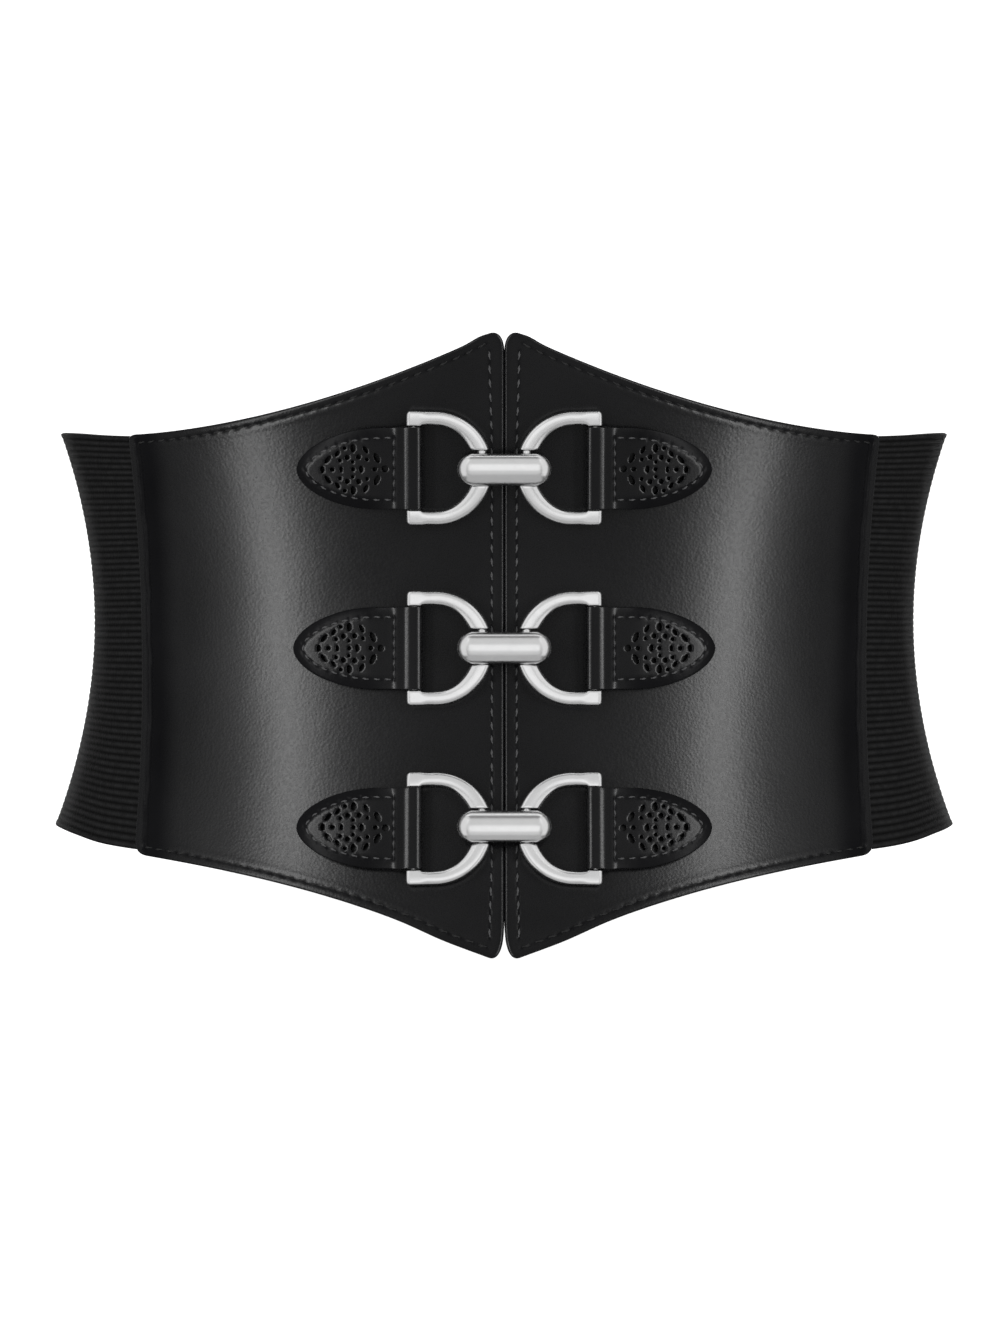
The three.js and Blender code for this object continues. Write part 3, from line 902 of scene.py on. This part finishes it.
# Elastic band.
def band_mesh():
    """The elastic from one sewn end round the back to the other, with each point's thread place."""
    rows = RIB_COUNT * RIB_STEPS
    share = np.linspace(0, 1, BAND_COLUMNS + 1)[:, None]
    row = np.linspace(0, 1, rows + 1)[None, :]
    start = angle_along(BAND_START, WAIST_LEVEL, ELASTIC_THICKNESS)
    level_angle = lerp(start, 2 * np.pi - start, share)
    degrees = np.degrees(np.pi - np.abs(np.pi - level_angle))
    middle = ELASTIC_WIDTH * smooth_table(degrees, BAND_DEGREES, BAND_MIDDLES)
    span = ELASTIC_WIDTH * smooth_table(degrees, BAND_DEGREES, BAND_SPANS)
    side_middle = ELASTIC_WIDTH * BAND_MIDDLES[BAND_DEGREES.index(90)]
    levelling = (side_middle - middle) * (degrees < 90) * (1 - (2 * row - 1) ** 2)
    height = middle + levelling + (row - 0.5) * span
    seam = angle_along(BAND_START, height, ELASTIC_THICKNESS)
    angle = lerp(seam, 2 * np.pi - seam, share)

    half = ELASTIC_THICKNESS / 2
    edge = np.minimum(row, 1 - row) * ELASTIC_WIDTH
    rib = RIB_DEPTH * (1 - np.abs(np.sin(np.pi * row * RIB_COUNT)) ** RIB_POWER)
    full = np.sqrt(np.clip(1 - (1 - np.clip(edge / BAND_EDGE, 0, 1)) ** 2, 0, 1))
    ripple = BAND_RIPPLE * np.sin(level_angle * RIPPLES_ROUND + RIPPLE_TWIST * row)
    outer_lift = half + (half + 0.06 + SELVEDGE_RISE * bell(edge - 1, 1) - rib) * full + ripple
    inner_lift = half - (half + 0.04 - rib) * full + ripple
    thread = points_at(level_angle * THREADS_ROUND, row * RIB_COUNT * 2).reshape(-1, 2)
    skin = Skin()
    outer, inner = (
        np.reshape(skin.add(on_waist(angle, height, lift).reshape(-1, 3), thread, 0), height.shape)
        for lift in (outer_lift, inner_lift)
    )
    skin.faces += grid_faces(outer) + grid_faces(inner, flip=True)
    for side in (0, -1):
        skin.faces += grid_faces(np.stack([inner[:, side], outer[:, side]]), flip=side == 0)
        skin.faces += grid_faces(np.stack([inner[side], outer[side]]), flip=side == -1)
    return skin.whole()


# Closures: where each sits, as in the CAD.
def closure_seat(level_share):
    level = level_share * CLOSURE_SPACING
    lean = math.atan(2 * FRONT_FLARE * (level - WAIST_LEVEL) / FLARE_SPAN**2)
    wide, deep = waist_size(level, PANEL_OUTER)
    spine_angle = math.asin((PIN_X + RING_SPAN) / wide)
    fall = deep * (1 - math.cos(spine_angle)) * math.cos(lean)
    set_back = math.asin((PIN_HEIGHT - SPINE_HEIGHT + fall) / RING_SPAN)
    half = spine_angle / 2
    spine_length = spine_angle * math.hypot(wide * math.cos(half), deep * math.sin(half))
    return {"level": level, "lean": lean, "set_back": set_back, "spine_length": spine_length, "deep": deep}


def leaned(points, seat):
    """Points of a closure's frame, tipped with the front and put at its level."""
    y, z = turned(points[..., 1], points[..., 2], seat["lean"])
    return points_at(points[..., 0], y - seat["deep"], z + seat["level"])


def on_tab(seat, along, across, high):
    """A point of the right tab, from the ring's spine towards the tip, laid on the curved panel."""
    side, front = turned(RING_SPAN + along, SPINE_HEIGHT - high, seat["set_back"])
    rigid = leaned(points_at(PIN_X + side, front - PIN_HEIGHT, across), seat)
    height = seat["level"] + across * math.cos(seat["lean"])
    angle = angle_along(seat["spine_length"] + along, height, PANEL_OUTER)
    laid = on_waist(angle, height, PANEL_OUTER) + waist_normal(angle, height, PANEL_OUTER) * high[:, None]
    share = smoothstep(along, LOOP_OUTER, 3 * LOOP_OUTER)[:, None]
    return rigid * (1 - share) + laid * share


# Tabs, laid out flat: place from the tip along the strap, and off its axis.
def filleted(points, radii):
    """A flat line through points, with each inner corner rounded."""
    line = [points[0]]
    for before, corner, after, radius in zip(points, points[1:], points[2:], radii):
        ends = []
        for way in (before - corner, after - corner):
            length = np.linalg.norm(way)
            ends.append(corner + way / length * min(radius, 0.48 * length))
        line.extend(bend(ends[0], corner, ends[1], np.linspace(0, 1, 9)[:, None]))
    line.append(points[-1])
    return np.array(line)


def strap_line(length):
    """Middle of the folded strap seen from the side, from the tip round the spine and back."""
    reach = LOOP_OUTER - STRAP_THICKNESS / 2
    front = SPINE_HEIGHT + reach
    corners = np.array([
        [length, UPPER_MIDDLE],
        [TAB_ROW_FROM_SPINE - 0.5, UPPER_MIDDLE - 0.1],
        [reach + 0.65, front - 0.38],
        [reach - 0.75, front],
        [1 - reach, front],
        [-reach - 0.05, front - 0.55],
        [-reach, SPINE_HEIGHT - reach],
        [2 * reach, LOWER_MIDDLE],
        [length, LOWER_MIDDLE],
    ])
    return filleted(corners, [1.6, 0.45, 0.3, 0.3, 0.4, 1.5, 1.5])


def tab_half_width(from_tip):
    share = np.clip(from_tip / TAB_POINT_LENGTH, 0, 1)
    inner, outer = TAB_POINT_POWERS
    return TAB_HALF_WIDTH * (1 - (1 - share) ** inner) ** outer


def tab_outline(total, rows, inset):
    """Closed outline of the whole strap, which is pointed at both ends."""
    near = TAB_POINT_LENGTH * np.linspace(0, 1, 60) ** 2
    first = points_at(near, tab_half_width(near))
    last = (first * [-1, 1] + [total, 0])[::-1]
    middle = rows[(rows > TAB_POINT_LENGTH + 0.3) & (rows < total - TAB_POINT_LENGTH - 0.3)]
    top = np.concatenate([resampled(first, 54), points_at(middle, TAB_HALF_WIDTH), resampled(last, 54)])
    whole = np.concatenate([top, (top * [1, -1])[-2:0:-1]])[::-1]
    return whole + line_normals(whole, closed=True) * inset


def tab_stitch_lines(row):
    """The sewn lines: from the row beside the loop round the tip and back, and the row itself."""
    place = TAB_POINT_LENGTH * np.linspace(0, 1, 80) ** 2
    place = np.concatenate([place, np.linspace(TAB_POINT_LENGTH + 0.2, row, 30)])
    edge = points_at(place, tab_half_width(place))
    line = edge - line_normals(edge) * TAB_STITCH_INSET
    line = line[(line[:, 1] > 0.2) & (line[:, 0] < row)]
    across = points_at(row, np.linspace(-1, 1, 60) * (STRAP_WIDTH / 2 - TAB_STITCH_INSET))
    return np.concatenate([(line * [1, -1])[::-1], line]), across


def hole_loop(hole, side, grow):
    place, off, long, wide, lean = hole
    turn = round_turn(14)
    x = (long / 2 + grow) * np.cos(turn)
    y = (wide / 2 + grow) * np.sin(turn)
    angle = math.radians(lean) * side
    along = place + x * math.cos(angle) - y * math.sin(angle)
    return points_at(along, side * off + x * math.sin(angle) + y * math.cos(angle))


def pierced_sheet(loops, inside):
    """Triangles inside the first loop and outside the others, with the loops' new point numbers."""
    starts = np.cumsum([0] + [len(loop) for loop in loops])
    polygons = [list(range(start, end)) for start, end in zip(starts, starts[1:])]
    points = [Vector(point) for point in np.concatenate([*loops, inside])]
    made, _, triangles, origins, _, face_origins = delaunay_2d_cdt(points, [], polygons, 1, 1e-5)
    number = {old: new for new, group in enumerate(origins) for old in group}
    triangles = [list(face) for face, origin in zip(triangles, face_origins) if list(origin) == [0]]
    loop_ids = [[number[i] for i in polygon] for polygon in polygons]
    return np.array([list(point) for point in made]), triangles, loop_ids


class Tab:
    """A tab and its strap, one piece of leather that is folded round the ring's spine."""

    def __init__(self, seat, length):
        self.seat = seat
        self.line = strap_line(length)
        self.total = walked(self.line)[-1]
        self.row = length - TAB_ROW_FROM_SPINE
        fold_start = self.row - 1
        fold_end = fold_start + TAB_ROW_FROM_SPINE + 14
        parts = ((0.5, fold_start, 0.62), (fold_start, fold_end, 0.28), (fold_end, self.total, 0.8))
        self.rows = np.concatenate([np.arange(*part) for part in parts])
        self.outline = tab_outline(self.total, self.rows, 0)
        self.face_edge = self.outline[self.outline[:, 0] < length]
        self.sewn = tab_stitch_lines(self.row)
        self.needle_holes = np.concatenate([stitch_holes(line, TAB_STITCH_PITCH) for line in self.sewn])

    def inside(self, inset, holes):
        """Even points inside the outline, clear of it and of the holes."""
        across = np.arange(-STRAP_WIDTH / 2 + 0.6, STRAP_WIDTH / 2 - 0.5, 0.66)
        points = points_at(self.rows[:, None], across[None]).reshape(-1, 2)
        room = np.minimum(tab_half_width(points[:, 0]), tab_half_width(self.total - points[:, 0]))
        points = points[np.abs(points[:, 1]) < room - TAB_BEVEL - 0.25]
        clear = nearest(points, inset) > 0.3
        for loop in holes:
            clear &= nearest(points, resampled(closed_line(loop), 60)) > 0.22
            clear &= np.abs(winding(points, loop)) < np.pi
        return points[clear]

    def laid(self, flat, thick):
        """Where flat points come to lie, thick off the strap's middle, and the painted shade there: on the
        rim and round needle dents.
        """
        upper = 1 - smoothstep(flat[:, 0], self.row + 0.6, self.row + 3.4)
        raised = 1 - smoothstep(flat[:, 0], self.row - 9, self.row + 1.5)
        edge = nearest(flat, self.face_edge)
        rise = np.clip(edge / TAB_CROWN_REACH, 0, 1)
        crown = raised * (TAB_CROWN * (1 - (1 - rise) ** TAB_CROWN_POWER) - TAB_EDGE_DROP)
        needle = nearest(flat, self.needle_holes)
        groove = mark(nearest(flat, np.concatenate(self.sewn)), TAB_GROOVE) + mark(needle, TAB_DENT)
        middle, ahead, behind = (at_lengths(self.line, flat[:, 0] + step) for step in (0, 0.12, -0.12))
        way = unit(ahead - behind)
        shift = thick + upper * (crown - groove * (thick > 0))
        side = middle + points_at(way[:, 1], -way[:, 0]) * shift[:, None]
        # Painted shade that keeps the tab's sloping rim dark, and painted shade round each needle dent.
        rim_shade = raised * TAB_RIM_PAINTED_SHADE * (1 - smoothstep(edge, 2.8, 4.8))
        painted_shade = np.maximum(rim_shade, upper * bell(needle, TAB_DENT_SHADE))
        return on_tab(self.seat, side[:, 0], flat[:, 1], side[:, 1]), painted_shade

    def leather(self):
        half = STRAP_THICKNESS / 2
        holes = [(hole, side) for hole in PIERCINGS for side in ((1, -1) if hole[1] else (1,))]
        inner = [tab_outline(self.total, self.rows, TAB_BEVEL)]
        inner += [hole_loop(hole, side, HOLE_BEVEL) for hole, side in holes]
        outer = [self.outline] + [hole_loop(hole, side, 0) for hole, side in holes]
        flat, triangles, loop_ids = pierced_sheet(inner, self.inside(inner[0], inner[1:]))
        skin = Skin()

        def add(points, thick):
            placed, painted_shade = self.laid(points, thick)
            return skin.add(placed, points, painted_shade)

        add(flat, half)
        under = add(flat, -half)
        skin.faces += triangles + [[under[i] for i in face[::-1]] for face in triangles]
        for ids, inner_loop, outer_loop in zip(loop_ids, inner, outer):
            steps = 7 if outer_loop is self.outline else 3
            previous = ids
            for turn in np.linspace(0, np.pi, steps + 2)[1:-1]:
                thick = half * squared(round(math.cos(turn), 9), 0.7)
                current = add(lerp(inner_loop, outer_loop, math.sin(turn) ** 0.7), thick)
                skin.faces += strip(previous, current)
                previous = current
            skin.faces += strip(previous, [under[i] for i in ids])
        return skin.whole()

    def stitching(self):
        bodies = []
        for line in self.sewn:
            marks = stitch_holes(line, TAB_STITCH_PITCH)
            lean = line_normals(marks)[:-1] * TAB_STITCH_LEAN
            ends = thread_ends(marks, TAB_STITCH_SHARES, lean)
            lifts = (STRAP_THICKNESS / 2 + 0.02, STRAP_THICKNESS / 2 + 0.5)
            low, high = ([self.laid(flat, lift)[0] for flat in ends] for lift in lifts)
            outs = unit((high[0] - low[0]) + (high[1] - low[1]))
            bodies += [stitch(start, end, out, FINE_THREAD) for start, end, out in zip(*low, outs)]
        return joined(bodies)


# Rings, in the hinge's frame: x towards the spine, z up and the front at -y.
def arm_body(cut):
    """A ring's upper arm, from its cut end beside the bar round the arc and out to its square foot."""
    end_x = RING_SPAN + FOOT_WIDTH / 2 + FOOT_PROUD
    arc_x = end_x - FOOT_PROUD - RING_LEG_LENGTH
    half, deep = WIRE_WIDTH / 2, WIRE_DEPTH / 2
    turn = round_turn(28)
    wide, high = (squared(wave, ARM_POWER) for wave in (np.cos(turn), np.sin(turn)))
    sections = []
    for share, small in [(1, 0.8), (1, 0.93), (0.985, 1), *[(s, 1) for s in np.linspace(0.95, 0, 22)]]:
        reach = half * (ARM_FULLNESS - wide * (ARM_FULLNESS - 1))
        reach = reach + ARM_SWELL * smoothstep(share, 0.1, 1) * (wide < 0)
        radius = ARM_MIDDLE + small * reach * wide
        angle = lerp(np.pi / 2, np.arcsin(cut / radius), share)
        x = arc_x - radius * np.cos(angle)
        sections.append(points_at(x, deep * small * high, radius * np.sin(angle)))

    corner_x = end_x - FOOT_CORNER
    foot_x = end_x - FOOT_WIDTH
    round_corner = corner_x + FOOT_CORNER * np.sin(np.linspace(0, np.pi / 2, 8)[1:])
    lip = FOOT_HEIGHT - WIRE_WIDTH + 0.05
    for x in np.concatenate([np.linspace(arc_x, corner_x, 16)[1:], round_corner]):
        near = max(0.0, (x - corner_x) / FOOT_CORNER)
        pull = FOOT_CORNER * (1 - math.sqrt(max(0.0, 1 - near**2)))
        low = -half * ARM_FULLNESS - lip * smoothstep(x, foot_x - 1, foot_x - 0.3) + 0.1 * pull
        power = lerp(ARM_POWER, FOOT_POWER, smoothstep(x, foot_x - 3, foot_x))
        wide, high = (squared(wave, power) for wave in (np.cos(turn), np.sin(turn)))
        radius = ARM_MIDDLE + lerp(low, half - pull, (wide + 1) / 2)
        sections.append(points_at(x, high * (deep - 0.6 * pull), radius))
    return lofted(sections)


def rod(radius, half_length, x):
    """Upright round bar."""
    turn = round_turn(24)
    heights = np.linspace(-half_length, half_length, 8)[:, None]
    return lofted(points_at(x + radius * np.cos(turn), radius * np.sin(turn), heights))


def ring_mesh(seat):
    arm_points, arm_faces = arm_body(ARM_CUT - LOWER_ARM_LONGER)
    lower = arm_points * [1, 1, -1], [face[::-1] for face in arm_faces]
    spine = rod(SPINE_RADIUS, RING_HALF_HEIGHT - FOOT_HEIGHT + 1, RING_SPAN)
    pin = rod(PIN_RADIUS + 0.15, ARM_CUT + 0.8, 0)
    points, faces = joined([arm_body(ARM_CUT), lower, spine, pin])
    x, y = turned(points[:, 0], points[:, 1], seat["set_back"])
    return leaned(points_at(PIN_X + x, y - PIN_HEIGHT, points[:, 2]), seat), faces


# Link bar, in the closure's frame.
def bar_body():
    """The half-round bar, from the line of its crest over its rounded rim to its flat back."""
    half = BAR_WIDTH / 2
    straight = BAR_LENGTH / 2 - half
    rim_y = -BAR_BACK - BAR_RIM
    crown = np.radians(np.linspace(90, 0, 16))
    rim = np.radians(np.linspace(0, 90, 5)[1:])
    reach = np.concatenate([half * np.cos(crown), half - BAR_RIM + BAR_RIM * np.cos(rim), [0]])
    front = [rim_y - (BAR_DEPTH - BAR_RIM) * np.sin(crown), rim_y + BAR_RIM * np.sin(rim), [-BAR_BACK]]
    front = np.concatenate(front)[:, None]
    reach = np.maximum(reach, 0.001)[:, None]
    turn = np.radians(np.concatenate([np.linspace(-90, 90, 25), np.linspace(90, 270, 25)]))
    middle = np.repeat([straight, -straight], 25)
    sections = points_at(middle + reach * np.cos(turn), front, reach * np.sin(turn))
    rows, columns = sections.shape[:2]
    last = list(range((rows - 1) * columns, rows * columns))
    faces = tube_faces(rows, columns) + [list(range(columns))[::-1], last]
    return sections.reshape(-1, 3), faces


def bar_mesh(seat):
    """The bar with a closed eye behind one end and an open hook behind the other."""
    bodies = [bar_body()]
    thick = (LUG_RADIUS - PIN_HOLE) / 2
    turn = round_turn(20)
    radius = PIN_HOLE + thick + squared(np.cos(turn), LUG_POWER) * thick
    high = squared(np.sin(turn), LUG_POWER) * LUG_LENGTH / 2
    for side, start, end in ((-1, 0, 360), (1, -HOOK_DEGREES, HOOK_DEGREES)):
        closed = end - start == 360
        angle = np.radians(np.linspace(start, end, 40, endpoint=not closed))[:, None]
        sections = points_at(side * PIN_X + radius * np.cos(angle), radius * np.sin(angle) - PIN_HEIGHT, high)
        bodies.append(lofted(sections, closed))
    points, faces = joined(bodies)
    return leaned(points, seat), faces


# Build the belt. Everything is made for the viewer's right and flipped for the left.
SIDES = {"right": (1, 1, 1), "left": (-1, 1, 1)}

(panel_points, panel_faces, panel_surface), panel_looks = panel_mesh()
sewing = {"stitching": panel_stitches(False), "lining_stitching": panel_stitches(True)}
for side_name, flip in SIDES.items():
    panel = make_piece(f"panel_leather_{side_name}", panel_points * flip, panel_faces,
                       [PANEL_LEATHER, LINING], "leather", f"panel_{side_name}", panel_looks, panel_surface)
    threads = [
        make_piece(f"panel_{name}_{side_name}", points * flip, faces, [THREAD, SHADED_THREAD], "leather",
                   face_looks=looks)
        for name, (points, faces, looks) in sewing.items()
    ]

band_points, band_faces, band_surface = band_mesh()
band = make_piece("ribbed_elastic", band_points, band_faces, [ELASTIC], "elastic", "elastic_band",
                  surface=band_surface)
seam_points, seam_faces = seam_stitches()
zigzags = [
    make_piece(f"band_stitching_{side_name}", seam_points * flip, seam_faces, [THREAD], "elastic")
    for side_name, flip in SIDES.items()
]

for closure, level_share, length_share in CLOSURES:
    seat = closure_seat(level_share)
    tab = Tab(seat, TAB_LENGTH * length_share)
    tab_points, tab_faces, tab_surface = tab.leather()
    thread_points, thread_faces = tab.stitching()
    ring_points, ring_faces = ring_mesh(seat)
    for side_name, flip in SIDES.items():
        place = f"{side_name}_{closure}"
        make_piece(f"tab_leather_{place}", tab_points * flip, tab_faces, [TAB_LEATHER], "tab_leather",
                   f"tab_{place}", surface=tab_surface)
        make_piece(f"tab_stitching_{place}", thread_points * flip, thread_faces, [THREAD], "tab_leather")
        make_piece(f"cast_ring_{place}", ring_points * flip, ring_faces, [METAL], "metal", f"ring_{place}")
    make_piece(f"cast_bar_{closure}", *bar_mesh(seat), [METAL], "metal", f"link_bar_{closure}")


# Stage: pale floor, white surround, camera and lamps. The leather and the metal have lamps of their
# own. Each lamp has its group, the degrees that it stands round from the front and up, its distance,
# its width and height in metres, its power and its roll.
CAMERA_PLACE = (-1.3, -1700, -5.5)
CAMERA_LENS = 142.6
CAMERA_SENSOR = 36
FLOOR_HEIGHT = -420
FLOOR_REACH = 9000
SURROUND_LIGHT = 0.18
SURROUND_SEEN = 1.3
LIT_GROUPS = {"Lit_metal": ("cast_",), "Lit_leather": ("panel_", "ribbed_", "band_", "tab_")}
SIDE_LAMPS = (
    ("Strip", "Lit_leather", 46, 3, 1.6, 0.24, 1.7, 12, 14),
    ("Wing", "Lit_leather", 62, 3, 1.8, 0.3, 1.8, 0.7, 0),
    ("Metal_side", "Lit_metal", 54, 10, 1.9, 1.6, 4.2, 13, 0),
)
MIDDLE_LAMPS = (
    ("Back", "Lit_leather", 180, 16, 1.9, 2.2, 1.6, 45, 0),
    ("Metal_wide", "Lit_metal", 0, 10, 2.6, 3.0, 4.9, 22, 0),
    ("Metal_front", "Lit_metal", 0, 2, 2.0, 1.5, 1.0, 1.6, 0),
    ("Metal_top", "Lit_metal", 0, 100, 2.0, 2.4, 2.1, 13, 0),
    ("Metal_low", "Lit_metal", 0, -67, 2.0, 2.4, 2.6, 5.5, 0),
    ("Metal_under", "Lit_metal", 0, -125, 2.0, 2.4, 1.2, 9, 0),
)


def make_camera():
    camera = bpy.data.cameras.new("Camera")
    camera.lens = CAMERA_LENS
    camera.sensor_width = CAMERA_SENSOR
    holder = put_in_scene("Camera", camera)
    holder.location = [value * MM for value in CAMERA_PLACE]
    holder.rotation_euler = (math.pi / 2, 0, 0)
    bpy.context.scene.camera = holder


def lit_group(name):
    """The pieces that a lamp is meant for."""
    group = bpy.data.collections.new(name)
    for piece in bpy.data.objects:
        if piece.name.startswith(LIT_GROUPS[name]):
            group.objects.link(piece)
    return group


def area_light(name, group, azimuth, elevation, distance, width, height, power, roll):
    lamp = bpy.data.lights.new(name, "AREA")
    lamp.shape = "RECTANGLE"
    lamp.size = width
    lamp.size_y = height
    lamp.energy = power
    holder = put_in_scene(name, lamp)
    a, e = math.radians(azimuth), math.radians(elevation)
    way = Vector((math.sin(a) * math.cos(e), -math.cos(a) * math.cos(e), math.sin(e)))
    holder.location = way * distance
    holder.rotation_mode = "QUATERNION"
    holder.rotation_quaternion = (-way).to_track_quat("-Z", "Y") @ Quaternion((0, 0, 1), math.radians(roll))
    holder.visible_camera = False
    holder.light_linking.receiver_collection = group


def make_surround():
    """White to the camera and on the floor, and dimmer in the belt's own reflections."""
    world = bpy.data.worlds.new("Surround")
    bpy.context.scene.world = world
    nodes = Nodes(world)
    white = (1, 1, 1, 1)
    dim = nodes.tree.nodes["Background"]
    nodes.feed(dim, {"Color": white, "Strength": SURROUND_LIGHT})
    bright = nodes.node("Background", {"Color": white, "Strength": SURROUND_SEEN}).outputs[0]
    ray = nodes.node("LightPath").outputs
    seen = nodes.node("Math", {0: ray["Is Camera Ray"], 1: ray["Is Diffuse Ray"]}, operation="MAXIMUM")
    mix = nodes.node("MixShader", {0: seen.outputs[0], 1: dim.outputs[0], 2: bright}).outputs[0]
    nodes.feed(nodes.tree.nodes["World Output"], {"Surface": mix})


def make_floor():
    mesh = bpy.data.meshes.new("floor")
    corners = np.array([(-1, -1, 0), (1, -1, 0), (1, 1, 0), (-1, 1, 0)]) * FLOOR_REACH + [0, 0, FLOOR_HEIGHT]
    mesh.from_pydata((corners * MM).tolist(), [], [(0, 1, 2, 3)])
    look = Look("Pale_floor")
    colour = look.mixed(look.noise(0.004), FLOOR_COLOURS)
    mesh.materials.append(look.finished({"Base Color": colour, "Roughness": 0.8}))
    floor = put_in_scene("floor", mesh)
    floor.visible_glossy = False


make_camera()
make_surround()
make_floor()
groups = {name: lit_group(name) for name in LIT_GROUPS}
for side in (-1, 1):
    for name, group, azimuth, *rest, roll in SIDE_LAMPS:
        area_light(f"{name}_{side}", groups[group], side * azimuth, *rest, side * roll)
for name, group, *rest in MIDDLE_LAMPS:
    area_light(name, groups[group], *rest)

bpy.context.scene.view_settings.view_transform = "Standard"
bpy.context.scene.view_settings.look = "None"
